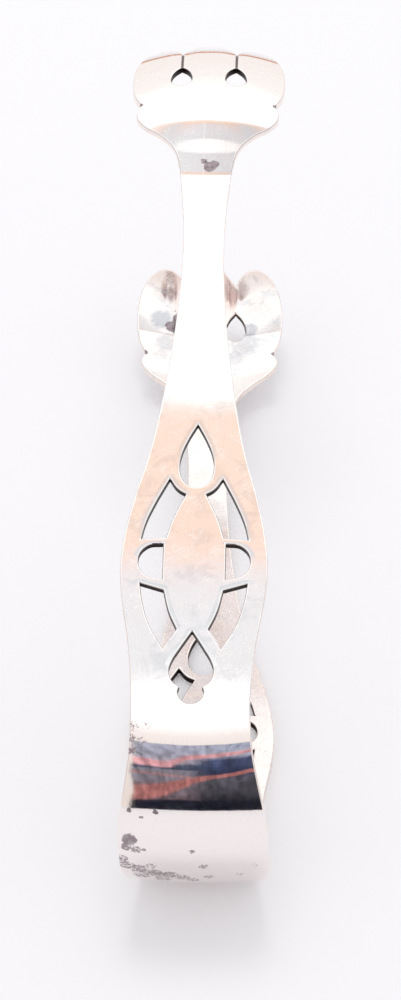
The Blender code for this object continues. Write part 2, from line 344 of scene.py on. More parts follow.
def offset_loop(loop, distance, fixed_edges):
    """The loop moved into the metal, which is on its left. Fixed edges, at a seam, stay where they are."""
    ahead = np.roll(loop, -1, axis=0) - loop
    ahead /= np.linalg.norm(ahead, axis=1)[:, None]
    inward = np.stack([-ahead[:, 1], ahead[:, 0]], -1)
    before = np.roll(inward, 1, axis=0)
    reach = np.where(fixed_edges, 0.0, distance)
    reach_before = np.roll(reach, 1)
    cross = before[:, 0] * inward[:, 1] - before[:, 1] * inward[:, 0]
    moved = np.empty_like(loop)
    for i in range(len(loop)):
        if abs(cross[i]) > SHARP_TURN:
            pair = np.array([before[i], inward[i]])
            step = np.linalg.solve(pair, np.array([reach_before[i], reach[i]]))
        else:
            middle = before[i] + inward[i]
            middle /= np.linalg.norm(middle)
            step = middle * (reach_before[i] + reach[i]) / 2.0 / max(0.5, float(middle @ inward[i]))
        if np.linalg.norm(step) > MITRE_LIMIT * distance:
            step *= MITRE_LIMIT * distance / np.linalg.norm(step)
        moved[i] = loop[i] + step
    gaps = np.hypot(
        moved[:, None, 0] - loop[None, :, 0], moved[:, None, 1] - loop[None, :, 1]
    ).min(axis=1)
    free = (gaps > distance * CROWDED) | fixed_edges | np.roll(fixed_edges, 1)
    kept = np.where(free)[0]
    for i in np.where(~free)[0]:
        around = np.minimum((kept - i) % len(loop), (i - kept) % len(loop))
        moved[i] = moved[kept[int(np.argmin(around))]]
    return moved


def rim_normals(loop, fixed_edges):
    """Outward directions, away from the metal, at a loop's points."""
    ahead = np.roll(loop, -1, axis=0) - loop
    outward = np.stack([ahead[:, 1], -ahead[:, 0]], -1)
    outward /= np.linalg.norm(outward, axis=1)[:, None]
    before = np.roll(outward, 1, axis=0)
    mixed = outward * ~fixed_edges[:, None] + before * ~np.roll(fixed_edges, 1)[:, None]
    length = np.linalg.norm(mixed, axis=1)[:, None]
    return np.where(length > 1e-6, mixed / np.maximum(length, 1e-6), outward)


def halo_points(loops):
    """Points that follow the piercings a little way out, so that the painted grey borders beside them are
    crisp.
    """
    found = []
    for hole in loops[1:]:
        for distance in HALO_STEPS:
            points = offset_loop(hole, distance, np.zeros(len(hole), bool))
            gaps = nearest(points, loops)[0]
            found.append(points[gaps > distance * 0.96])
    return np.concatenate(found)


def nearest(points, loops):
    """Distance to the nearest of the loops' points, and the direction to it."""
    gaps = np.full(len(points), 1e9)
    toward = np.zeros((len(points), 2))
    for loop in loops:
        for start in range(0, len(loop), 200):
            part = loop[start:start + 200]
            away = part[None, :, :] - points[:, None, :]
            distance = np.hypot(away[..., 0], away[..., 1])
            best = distance.argmin(axis=1)
            index = np.arange(len(points))
            closer = distance[index, best] < gaps
            gaps = np.where(closer, distance[index, best], gaps)
            toward = np.where(closer[:, None], away[index, best], toward)
    return gaps, toward / np.maximum(np.linalg.norm(toward, axis=1), 1e-9)[:, None]


def grid_points(rings, spacing, dense_boxes, halo):
    """Points to fill a face with, clear of its rings."""
    outer = rings[0]
    low, high = outer.min(axis=0), outer.max(axis=0)
    columns = np.arange(math.floor(low[0] / spacing), math.ceil(high[0] / spacing) + 1) * spacing
    rows = np.linspace(low[1], high[1], round((high[1] - low[1]) / spacing) + 1)[1:-1]
    coarse = np.stack(np.meshgrid(columns, rows), -1).reshape(-1, 2)
    sets = []
    for x0, y0, x1, y1, fine in dense_boxes:
        local = np.stack(np.meshgrid(np.arange(x0, x1, fine), np.arange(y0, y1, fine * 2.5)), -1)
        sets.append((local.reshape(-1, 2), fine * 0.6))
        in_box = (coarse[:, 0] > x0 - fine) & (coarse[:, 0] < x1 + fine)
        in_box &= (coarse[:, 1] > y0 - fine) & (coarse[:, 1] < y1 + fine)
        coarse = coarse[~in_box]
    if len(halo):
        sets.append((halo, LOOP_SPACING * 0.45))
        coarse = coarse[nearest(coarse, [halo])[0] > spacing * 0.35]
    sets.append((coarse, spacing * 0.45))
    found = []
    for points, margin in sets:
        keep = inside(points, outer)
        for hole in rings[1:]:
            keep &= ~inside(points, hole)
        points = points[keep]
        found.append(points[nearest(points, rings)[0] > margin])
    return np.concatenate(found)


def make_plate(name, side, knot_loops, spacing, seams, dense_boxes=(), halo_reflection=False):
    """One closed piece of the strip: two faces, rounded edges and walls, formed to its place."""
    loops = []
    for number, knots in enumerate(knot_loops):
        loop = loop_points(knots)
        if (signed_area(loop) > 0.0) != (number == 0):
            loop = loop[::-1]
        loops.append(loop)
    points, normals, marks = [], [], []
    quads, caps = [], []
    front_rings, back_rings = [], []
    total = 0
    for number, loop in enumerate(loops):
        ahead = np.roll(loop, -1, axis=0)
        fixed = np.zeros(len(loop), bool)
        for seam in seams:
            fixed |= (np.abs(loop[:, 1] - seam) < 1e-3) & (np.abs(ahead[:, 1] - seam) < 1e-3)
        outward = rim_normals(loop, fixed)
        rings = []
        for k in range(EDGE_STEPS + 1):
            angle = math.pi / 2 * k / EDGE_STEPS
            inset = EDGE_RADIUS * (1.0 - math.sin(angle))
            deep = EDGE_RADIUS * (1.0 - math.cos(angle))
            rings.append((inset, deep, angle))
        middle = [
            (0.0, EDGE_RADIUS + (THICKNESS - 2 * EDGE_RADIUS) * k / WALL_STEPS, math.pi / 2)
            for k in range(1, WALL_STEPS)
        ]
        back = [(inset, THICKNESS - deep, math.pi - angle) for inset, deep, angle in reversed(rings)]
        ring_starts = []
        for inset, deep, angle in rings + middle + back:
            flat = offset_loop(loop, inset, fixed) if inset > 1e-9 else loop
            ring_starts.append(total)
            total += len(loop)
            points.append(np.column_stack([flat, np.full(len(loop), deep)]))
            tilt = np.column_stack([outward * math.sin(angle), np.full(len(loop), -math.cos(angle))])
            normals.append(tilt)
            wall = float(smooth_share(math.sin(angle), *WALL_STARTS))
            marks.append(np.tile((wall, 0.0) if number else (0.0, wall), (len(loop), 1)))
        count = len(loop)
        index = np.arange(count)
        after = (index + 1) % count
        for first, second in zip(ring_starts[:-1], ring_starts[1:]):
            quads.append(np.column_stack([first + index, second + index, second + after, first + after]))
            caps.append(fixed)
        front_rings.append((ring_starts[0], count))
        back_rings.append((ring_starts[-1], count))
    points = np.concatenate(points)
    face_loops = [points[start:start + count, :2] for start, count in front_rings]
    halo = halo_points(loops) if halo_reflection else ()
    filling = grid_points(face_loops, spacing, dense_boxes, halo)
    flat = np.concatenate(face_loops + [filling])
    edges = []
    base = 0
    for loop in face_loops:
        edges += [(base + i, base + (i + 1) % len(loop)) for i in range(len(loop))
                  if np.hypot(*(loop[i] - loop[(i + 1) % len(loop)])) > 1e-6]
        base += len(loop)
    made, _, made_faces, origin, _, _ = delaunay_2d_cdt(
        [Vector(p) for p in flat], edges, [], 0, 1e-6, True
    )
    made = np.array([tuple(p) for p in made], float)
    triangles = np.array([tuple(face) for face in made_faces], int)
    centres = made[triangles].mean(axis=1)
    keep = inside(centres, face_loops[0])
    for hole in face_loops[1:]:
        keep &= ~inside(centres, hole)
    triangles = triangles[keep]
    sources = np.array([ids[0] if ids else -1 for ids in origin])
    if (sources < 0).any():
        raise RuntimeError(f"{name}: the outline crosses itself")
    ring_index = np.concatenate([np.arange(s, s + c) for s, c in front_rings])
    ring_back = np.concatenate([np.arange(s, s + c) for s, c in back_rings])
    filling_front = total + np.arange(len(filling))
    filling_back = filling_front + len(filling)
    to_front = np.concatenate([ring_index, filling_front])[sources]
    to_back = np.concatenate([ring_back, filling_back])[sources]
    points = np.concatenate([
        points,
        np.column_stack([filling, np.zeros(len(filling))]),
        np.column_stack([filling, np.full(len(filling), THICKNESS)]),
    ])
    up = np.zeros((len(filling), 3))
    up[:, 2] = -1.0
    normals = np.concatenate(normals + [up, -up])
    marks = np.concatenate(marks + [np.zeros((2 * len(filling), 2))])
    shade = np.zeros(len(points))
    # Painted reflection: a grey border along the far side of each piercing, with the normals tilted a
    # little there.
    if halo_reflection:
        gaps, toward = nearest(points[:, :2], loops[1:])
        shade = 1.0 - smooth_share(gaps, *HALO_FADE)
        shade *= smooth_share(-toward[:, 1], *HALO_FACING) * (points[:, 2] < THICKNESS / 2)
        on_face = (points[:, 2] < 1e-6) * shade
        normals[:, 1] -= math.sin(HALO_TILT) * on_face
    quads = np.concatenate(quads)
    caps = np.concatenate(caps)
    front = to_front[triangles]
    back = to_back[triangles][:, ::-1]
    marks = np.column_stack([marks, shade])
    return finish_plate(name, side, points, normals, marks, quads, caps, front, back)


def finish_plate(name, side, points, normals, marks, quads, caps, front, back):
    """Welds the collapsed corners and writes the mesh, its normals and its attributes.

    Attribute strip is the blank point, and edge the shares of pierced wall, outer rim and painted grey
    border.
    """
    _, first, index = np.unique(
        np.round(points * 1e4).astype(np.int64), axis=0, return_index=True, return_inverse=True
    )
    index = index.reshape(-1)
    points, normals, marks = points[first], normals[first], marks[first]
    placed_points = placed(side, points)
    true_normals = placed_normals(side, points, normals)
    faces, flat_faces = [], []
    for quad, cap in zip(index[quads], caps):
        corners = [c for i, c in enumerate(quad) if c != quad[i - 1]]
        if len(set(corners)) >= 3:
            faces.append(corners)
            flat_faces.append(bool(cap))
    for triangle in np.concatenate([index[front], index[back]]):
        faces.append(list(triangle))
        flat_faces.append(False)
    middle = placed_points[faces[-1]]
    facing = np.cross(middle[1] - middle[0], middle[2] - middle[0]) @ true_normals[faces[-1][0]]
    if facing < 0.0:
        faces = [face[::-1] for face in faces]
    mesh = bpy.data.meshes.new(name)
    mesh.from_pydata((placed_points * MM).tolist(), [], [[int(c) for c in face] for face in faces])
    mesh.polygons.foreach_set("use_smooth", np.ones(len(faces), bool))
    mesh.update()
    for title, values in (("strip", points), ("edge", marks)):
        attribute = mesh.attributes.new(title, "FLOAT_VECTOR", "POINT")
        attribute.data.foreach_set("vector", values.astype(np.float32).ravel())
    loop_vertex = np.empty(len(mesh.loops), np.int32)
    mesh.loops.foreach_get("vertex_index", loop_vertex)
    loop_normals = true_normals[loop_vertex]
    for polygon, is_flat in zip(mesh.polygons, flat_faces):
        if is_flat:
            for corner in polygon.loop_indices:
                loop_normals[corner] = polygon.normal
    mesh.normals_split_custom_set(loop_normals.tolist())
    piece = bpy.data.objects.new(name, mesh)
    bpy.context.scene.collection.objects.link(piece)
    return piece


def closed_outline(edge, low, high):
    points = [(low[0], low[1], CORNER)] + list(edge) + [(high[0], high[1], CORNER)]
    return points + mirrored(points)


def drop_loop(tip, half, foot):
    return [(0.0, tip, CORNER)] + list(half) + [(0.0, foot)] + mirrored(list(half))


def make_bow():
    apex = -BOW_RUN
    end = BOW_SEAM - HAIRLINE
    foot = 2.0 * apex - end
    upper = [(x, run) for x, run in reversed(BOW_EDGE)]
    lower = [(x, 2.0 * apex - run) for x, run in BOW_EDGE[:-1]]
    outline = closed_outline(
        lower + upper, (ARM_BOW_HALF_WIDTH, foot), (ARM_BOW_HALF_WIDTH, end)
    )
    return make_plate("bow_strip", 0, [outline], BOW_SPACING, (foot, end))


def make_arm(name, side):
    low = BOW_SEAM + HAIRLINE
    high = CLAW_SEAM - HAIRLINE
    loops = [closed_outline(ARM_EDGE, (ARM_BOW_HALF_WIDTH, low), (ARM_CLAW_HALF_WIDTH, high))]
    loops.append(drop_loop(LARGE_DROP_TIP, LARGE_DROP, LARGE_DROP_FOOT))
    loops.append(drop_loop(SMALL_DROP_TIP, SMALL_DROP, SMALL_DROP_FOOT))
    for piercing in SIDE_PIERCINGS:
        loops.append(piercing)
        loops.append(mirrored(piercing))
    return make_plate(name, side, loops, ARM_SPACING, (low, high), halo_reflection=side > 0)


def make_claw(name, side):
    low = CLAW_SEAM + HAIRLINE
    right = [(ARM_CLAW_HALF_WIDTH, low, CORNER)] + list(CLAW_EDGE)
    loops = [right + [(0.0, CENTRE_LOBE_TIP)] + mirrored(right), CLAW_HOLE, mirrored(CLAW_HOLE)]
    boxes = []
    for middle in (-CREASE_ACROSS, CREASE_ACROSS):
        left, right_end = (middle + edge for edge in CREASE_BAND)
        boxes.append((left, CREASE_RUNS[0], right_end, CREASE_RUNS[1], CREASE_SPACING))
    return make_plate(name, side, loops, CLAW_SPACING, (low,), boxes)


# ---- materials

class Graph:
    """Short words for making shader nodes."""

    def __init__(self, tree):
        self.tree = tree
        self.tree.nodes.clear()

    def node(self, kind, inputs=None, **settings):
        made = self.tree.nodes.new(kind)
        for key, value in settings.items():
            setattr(made, key, value)
        for key, value in (inputs or {}).items():
            self.put(made.inputs[key], value)
        return made

    def put(self, socket, value):
        if isinstance(value, bpy.types.NodeSocket):
            self.tree.links.new(value, socket)
        elif isinstance(value, tuple) and socket.type == "RGBA":
            socket.default_value = value + (1.0,)
        else:
            socket.default_value = value

    def math(self, operation, *values):
        made = self.node("ShaderNodeMath", operation=operation)
        for socket, value in zip(made.inputs, values):
            self.put(socket, value)
        return made.outputs[0]

    def times(self, first, *others):
        for other in others:
            first = self.math("MULTIPLY", first, other)
        return first

    def plus(self, first, second):
        return self.math("ADD", first, second)

    def less(self, first, second):
        return self.math("SUBTRACT", first, second)

    def vector(self, operation, *values):
        return self.node("ShaderNodeVectorMath", dict(enumerate(values)), operation=operation).outputs[0]

    def ramp(self, value, stops):
        made = self.node("ShaderNodeValToRGB", {"Fac": value})
        elements = made.color_ramp.elements
        while len(elements) < len(stops):
            elements.new(0.5)
        for element, (position, _) in zip(elements, stops):
            element.position = position
        for element, (_, colour) in zip(elements, stops):
            if isinstance(colour, (int, float)):
                colour = (colour,) * 3
            element.color = tuple(colour) + (1.0,)
        return made.outputs["Color"]

    def between(self, value, low, high, start=0.0, end=1.0):
        made = self.node(
            "ShaderNodeMapRange",
            {"Value": value, "From Min": low, "From Max": high, "To Min": start, "To Max": end},
            interpolation_type="SMOOTHSTEP",
        )
        return made.outputs["Result"]

    def mix(self, share, first, second, blend="MIX"):
        made = self.node("ShaderNodeMix", data_type="RGBA", blend_type=blend)
        self.put(made.inputs["Factor"], share)
        self.put(made.inputs[6], first)
        self.put(made.inputs[7], second)
        return made.outputs[2]

    def noise(self, vector, scale, detail=2.0, roughness=0.5, distortion=0.0):
        made = self.node(
            "ShaderNodeTexNoise",
            {"Vector": vector, "Scale": scale, "Detail": detail, "Roughness": roughness,
             "Distortion": distortion},
        )
        return made.outputs["Fac"]

    def stretched(self, vector, scale=(1.0, 1.0, 1.0), shift=(0.0, 0.0, 0.0), turn=0.0):
        made = self.node(
            "ShaderNodeMapping",
            {"Vector": vector, "Scale": scale, "Location": shift, "Rotation": (0.0, 0.0, turn)},
        )
        return made.outputs["Vector"]


def linear(red, green, blue):
    """Display values from 0 to 255 as linear light."""
    found = []
    for value in (red, green, blue):
        share = value / 255.0
        found.append(share / 12.92 if share <= 0.04045 else ((share + 0.055) / 1.055) ** 2.4)
    return tuple(found)


# The metal's own colour, the colours of its wear, and the colours of painted reflections and shade.
SILVER = (0.975, 0.948, 0.936)
BOW_SILVER = (0.94, 0.885, 0.86)
TARNISH = (0.17, 0.13, 0.145)
PALE_TARNISH = (0.32, 0.26, 0.29)
OXIDE = (0.024, 0.014, 0.013)
PEACH = (0.93, 0.80, 0.71)
SMEAR_AND_REFLECTION_GREY = (0.58, 0.62, 0.66)
DULL_GREY = (0.72, 0.69, 0.70)
REFLECTION_PATCH_GREY = (0.48, 0.50, 0.54)
# Painted shade for the inner faces, pale and dark.
INNER_SHADE_PALE = (0.70, 0.60, 0.57)
INNER_SHADE_DARK = (0.60, 0.49, 0.46)
CENTRE_REFLECTED_TAN = (0.86, 0.73, 0.69)
HALO_REFLECTION_GREY = (0.78, 0.79, 0.795)
RIM_REFLECTION_COPPER = (0.86, 0.66, 0.52)
TIP_REFLECTION_COPPER = (0.50, 0.30, 0.22)
HEEL_REFLECTION_GREY = (0.80, 0.755, 0.74)
CREASE_SHADE = (0.12, 0.085, 0.08)

# Where some of them lie on the strip, in millimetres.
INNER_FACE = (0.6, 1.2)
OUTER_FACE = (0.5, 0.3)
CENTRE_REFLECTION_ACROSS = (-1.1, 5.6, 1.0)
CENTRE_REFLECTION_RUNS = (139.0, 142.0)
INNER_SHADE_RUNS = (134.9, 135.5)
FLAT_HEEL_START = (112.4, 112.9)
FLAT_HEEL_END = (124.4, 123.6)
TIP_RUNS = (141.0, 144.0)


def line_mask(g, value, centre, half_width, soft):
    """1 within half_width of the centre, falling to 0 over the soft width beyond."""
    gap = g.math("ABSOLUTE", g.less(value, centre))
    return g.between(gap, half_width + soft, half_width)


def near_point(g, place, point, radius, inner_value, outer_value):
    gap = g.node("ShaderNodeVectorMath", {0: place, 1: point}, operation="DISTANCE").outputs["Value"]
    return g.between(gap, radius, radius * 0.5, outer_value, inner_value)


def silver(name, seed, spots=(), reflection_patches=(), grime=0.0, warm=0.0, smear_and_reflection=0.0, streaks=0.1, scuffed=0.5,
           inner=0.5, base_roughness=0.07, heel=False, tint=SILVER, marks_depth=0.0):
    """Worn silver plate.

    Spots, and soft grey patches of painted reflection, are (across, run, radius, strength), on the face
    at marks_depth. Grime sets specks, warm a peach toning, smear soft grey patches at random, which on the
    lower claw stand in for a painted reflection of the upper claw, streaks a haze of rubbing marks,
    scuffed the strength of the scratches and inner the strength of a painted shade, tan and mottled, on
    the inner face. Heel adds the claw's painted reflections on its heel, centre lobe and tips, painted
    shade in its creases, and a polished line on its heel.
    """
    material = bpy.data.materials.new(name)
    material.use_nodes = True
    g = Graph(material.node_tree)
    strip = g.node("ShaderNodeAttribute", attribute_name="strip").outputs["Vector"]
    edge = g.node("ShaderNodeAttribute", attribute_name="edge").outputs["Vector"]
    across, run, depth = g.node("ShaderNodeSeparateXYZ", {"Vector": strip}).outputs
    moved = g.stretched(strip, shift=(13.0 * seed, 29.0 * seed, 0.0))
    wall, rim, halo_reflection = g.node("ShaderNodeSeparateXYZ", {"Vector": edge}).outputs

    cloud = g.noise(moved, 0.16, 5.0, 0.6, 0.4)
    mottle = g.noise(moved, 0.9, 6.0, 0.65)
    streak = g.noise(g.stretched(moved, (3.2, 0.30, 1.0)), 1.0, 5.0, 0.6)
    hair = g.noise(g.stretched(moved, (5.5, 0.8, 1.0)), 1.0, 4.0, 0.75)
    scuff_a = g.noise(g.stretched(g.stretched(moved, turn=0.9), (5.0, 0.4, 1.0)), 1.0, 3.0, 0.6)
    scuff_b = g.noise(g.stretched(g.stretched(moved, turn=-0.6), (5.0, 0.5, 1.0)), 1.0, 3.0, 0.6)
    scuffs = g.math("MAXIMUM", g.between(scuff_a, 0.55, 0.62), g.between(scuff_b, 0.56, 0.63))
    scuffs = g.times(scuffs, g.between(g.noise(moved, 0.3, 2.0, 0.5), 0.46, 0.58))

    tone = g.times(g.between(cloud, 0.4, 0.65), warm)
    colour = g.mix(tone, tint, PEACH)
    # Soft grey patches at random; on the lower claw they stand in for a painted reflection of the upper
    # claw.
    smear_and_reflection_share = g.times(g.between(g.noise(moved, 0.22, 4.0, 0.55, 0.8), 0.5, 0.66), smear_and_reflection)
    colour = g.mix(smear_and_reflection_share, colour, SMEAR_AND_REFLECTION_GREY)
    dull = g.times(g.between(mottle, 0.35, 0.7), 0.08)
    colour = g.mix(dull, colour, DULL_GREY)
    on_inner_face = g.between(depth, *INNER_FACE)
    # Painted shade: tan and mottled on the inner face, where the two halves face each other.
    inner_shade_share = g.times(on_inner_face, inner)
    if heel:
        inner_shade_share = g.times(inner_shade_share, g.between(run, *INNER_SHADE_RUNS, 0.25, 1.0))
    inner_shade_colour = g.mix(g.between(mottle, 0.4, 0.62), INNER_SHADE_PALE, INNER_SHADE_DARK)
    colour = g.mix(inner_shade_share, colour, inner_shade_colour)
    if heel:
        # Painted reflection: a tan band down the centre lobe's inner face.
        centre_reflection = line_mask(g, across, *CENTRE_REFLECTION_ACROSS)
        centre_reflection = g.times(centre_reflection, g.between(run, *CENTRE_REFLECTION_RUNS), on_inner_face)
        colour = g.mix(centre_reflection, colour, CENTRE_REFLECTED_TAN)

    ragged = g.noise(moved, 1.9, 6.0, 0.78)
    push = g.node("ShaderNodeTexNoise", {"Vector": moved, "Scale": 1.4, "Detail": 4.0})
    jitter = g.vector("SUBTRACT", push.outputs["Color"], (0.5, 0.5, 0.5))
    jitter = g.node("ShaderNodeVectorMath", {0: jitter, "Scale": 1.1}, operation="SCALE").outputs[0]
    wandering = g.vector("ADD", strip, jitter)
    field = -1.0
    for *place, radius, strength in spots:
        near = near_point(g, wandering, (*place, marks_depth), radius, strength, -1.0)
        field = g.math("MAXIMUM", field, near)
    # Painted reflection: soft grey patches on the face.
    for *place, radius, strength in reflection_patches:
        patch = near_point(g, wandering, (*place, marks_depth), radius, strength, 0.0)
        patch = g.times(patch, g.between(mottle, 0.22, 0.45))
        colour = g.mix(patch, colour, REFLECTION_PATCH_GREY)
    # Dark marks in tarnish colours, from the listed spots and from random specks.
    dark_marks = 0.0
    if spots:
        rough_field = g.plus(field, g.times(g.less(ragged, 0.5), 3.2))
        dark_marks = g.times(g.between(rough_field, 0.25, 0.5), g.between(mottle, 0.25, 0.6, 0.6, 0.92))
    if grime:
        speck = g.between(g.noise(moved, 2.2, 4.0, 0.75), 0.70 - 0.08 * grime, 0.74 - 0.08 * grime)
        patch = g.between(g.noise(moved, 0.12, 2.0), 0.5, 0.62)
        speck = g.times(speck, patch, 0.7)
        dark_marks = g.math("MAXIMUM", dark_marks, speck)
    # Painted reflection: the grey border beside the piercings.
    colour = g.mix(g.times(halo_reflection, 0.8), colour, HALO_REFLECTION_GREY)
    # Painted reflection: a copper line along the rounded outer edges.
    colour = g.mix(g.times(rim, 0.35), colour, RIM_REFLECTION_COPPER)
    if heel:
        outer_face = g.between(depth, *OUTER_FACE)
        flat_heel = g.times(g.between(run, *FLAT_HEEL_START), g.between(run, *FLAT_HEEL_END))
        flat_heel = g.times(flat_heel, outer_face)
        # Painted reflection: the grey band across the flat of the heel, stronger to one side.
        heel_reflection = g.between(g.plus(across, g.times(streak, 8.0)), 0.0, 9.0, 0.4, 1.0)
        colour = g.mix(g.times(flat_heel, heel_reflection), colour, HEEL_REFLECTION_GREY)
        waver = g.plus(across, g.times(g.noise(moved, 0.35, 2.0), 0.5))
        polish_line = g.times(line_mask(g, waver, -0.25, 0.02, 0.16), flat_heel)
        # Painted shade: a dark line in the crease between two lobes, on the outer face.
        crease = line_mask(g, g.math("ABSOLUTE", across), CREASE_ACROSS, 0.16, 0.12)
        crease = g.times(crease, g.between(run, CREASE_RUNS[0] - 0.2, CREASE_RUNS[0] + 0.1))
        crease = g.times(crease, outer_face)
        colour = g.mix(g.times(crease, 0.9), colour, CREASE_SHADE)
        # Painted reflection: a copper line on the rounded edge of the lobes' tips.
        tip = g.times(g.between(rim, 0.0, 0.5), g.between(run, *TIP_RUNS))
        colour = g.mix(g.times(tip, 0.95), colour, TIP_REFLECTION_COPPER)
    if dark_marks:
        bruise = g.mix(g.between(ragged, 0.42, 0.6), TARNISH, PALE_TARNISH)
        colour = g.mix(dark_marks, colour, bruise)
    colour = g.mix(wall, colour, OXIDE)

    rough = g.between(streak, 0.3, 0.75, base_roughness, base_roughness + 0.04)
    rough = g.plus(rough, g.times(wall, 0.4))
    if dark_marks:
        rough = g.plus(rough, g.times(dark_marks, 0.35))
    rough = g.math("MINIMUM", rough, 0.7)
    haze = g.times(g.between(hair, 0.42, 0.72), streaks)
    haze = g.math("MAXIMUM", haze, g.times(scuffs, scuffed))
    if heel:
        haze = g.math("MAXIMUM", haze, g.times(polish_line, 0.6))

    height = g.times(cloud, 0.008)
    for texture, rise in ((g.noise(moved, 0.45, 2.0), 0.0014), (streak, 0.0004), (hair, 0.0002)):
        height = g.plus(height, g.times(texture, rise))
    bump = g.node("ShaderNodeBump", {"Height": height, "Strength": 1.0, "Distance": MM})
    polished = g.node(
        "ShaderNodeBsdfPrincipled",
        {"Base Color": colour, "Roughness": rough, "Normal": bump.outputs["Normal"], "Metallic": 1.0},
    )
    rubbed = g.node("ShaderNodeBsdfPrincipled", {"Base Color": colour, "Roughness": 0.5, "Metallic": 1.0})
    shader = g.node(
        "ShaderNodeMixShader", {0: haze, 1: polished.outputs["BSDF"], 2: rubbed.outputs["BSDF"]}
    )
    output = g.node("ShaderNodeOutputMaterial")
    g.tree.links.new(shader.outputs["Shader"], output.inputs["Surface"])
    return material


# ---- the studio

# How bright the tent's white is, and the share of light that polished silver gives back.
WHITE = 1.3
METAL = 0.95
CAMERA_FROM = Vector((0.0, -0.00508, 0.0289))
CAMERA_BACK = Vector((0.01495, -0.7639, 0.6452)).normalized()
CAMERA_DISTANCE = 0.9076
CAMERA_FOCAL = 5108.0
CAMERA_ROLL = math.radians(0.09)
SHIFT = (-1.9, 0.8)
SENSOR = 36.0


def make_camera():
    data = bpy.data.cameras.new("camera")
    data.sensor_width = SENSOR
    data.lens = SENSOR * CAMERA_FOCAL / IMAGE_LONG_SIDE
    data.shift_x = SHIFT[0] / IMAGE_LONG_SIDE
    data.shift_y = SHIFT[1] / IMAGE_LONG_SIDE
    data.clip_start = 0.05
    data.clip_end = 60.0
    camera = bpy.data.objects.new("camera", data)
    bpy.context.scene.collection.objects.link(camera)
    right = Vector((-CAMERA_BACK.y, CAMERA_BACK.x, 0.0)).normalized()
    up = CAMERA_BACK.cross(right)
    rolled_right = right * math.cos(CAMERA_ROLL) - up * math.sin(CAMERA_ROLL)
    rolled_up = right * math.sin(CAMERA_ROLL) + up * math.cos(CAMERA_ROLL)
    place = Matrix((rolled_right, rolled_up, CAMERA_BACK)).transposed().to_4x4()
    place.translation = CAMERA_FROM + CAMERA_BACK * CAMERA_DISTANCE
    camera.matrix_world = place
    bpy.context.scene.camera = camera


# The tent, its softbox and its floor; angles in degrees.
FILL = 0.61
FLOOR_RADIUS = 14.0
FLOOR_GAP = 0.00005
FLOOR_COLOUR = (0.93, 0.925, 0.94)
FLOOR_GLOW_COLOUR = (0.974, 0.957, 0.982)
FLOOR_GLOW = 0.11
KEY_PLACE = Vector((-0.04, 0.30, 1.0))
KEY_SIZE = 0.45
KEY_POWER = 1.6
TENT_FLANKS = (34.0, 62.0)
PEACH_FROM = 103.0
NARROW_PEACH = (106.0, 107.0)
PEACH_NARROWS = (8.0, 16.0)
FLANK_TONE = (206, 198, 196)

# The open front, in degrees and metres as seen from the bow's fold.
ROOM_SEEN_FROM = Vector((0.0, -0.08, 0.025))
ROOM_HEIGHTS = (-0.9, 65.0)
ROOM_REACH = (0.75, 0.5)
ROOM_GRID = (41, 13)
ROOM_STRENGTH = 1.2
ROOM_LEFT = ((-0.9, -13.4), (36.0, -13.2), (46.0, -11.4), (65.0, -8.6))
ROOM_RIGHT = ((-0.9, 16.5), (20.0, 15.0), (40.0, 12.5), (65.0, 8.2))
ROOM_BANDS = (
    (((-12.0, 47.0), (-8.5, 46.6), (-5.5, 45.5), (-3.2, 50.0), (-1.6, 53.3), (2.0, 54.6), (6.0, 55.6),
      (10.0, 58.0)), (3.4, 1.7), (186, 138, 144)),
    (((-13.0, 17.0), (-10.0, 18.0), (-6.5, 21.0), (-3.0, 26.5), (0.0, 31.0), (3.0, 34.0), (6.0, 35.2),
      (11.0, 38.8)), (7.6, 1.8), (148, 96, 94)),
    (((-12.0, 36.5), (-6.0, 35.6), (-2.0, 34.0), (1.0, 32.0)), (1.3, 0.9), (150, 108, 108)),
)


def lit(red, green, blue):
    """The light that shows as this display colour in polished silver."""
    return tuple(value / METAL / WHITE for value in linear(red, green, blue))


def height_and_side(g, direction):
    """Degrees above the horizon in front, up and over to the back, and degrees to the side."""
    parts = g.node("ShaderNodeSeparateXYZ", {"Vector": direction})
    x, y, z = parts.outputs
    height = g.math("DEGREES", g.math("ARCTAN2", z, g.times(y, -1.0)))
    return height, g.math("DEGREES", g.math("ARCSINE", x))


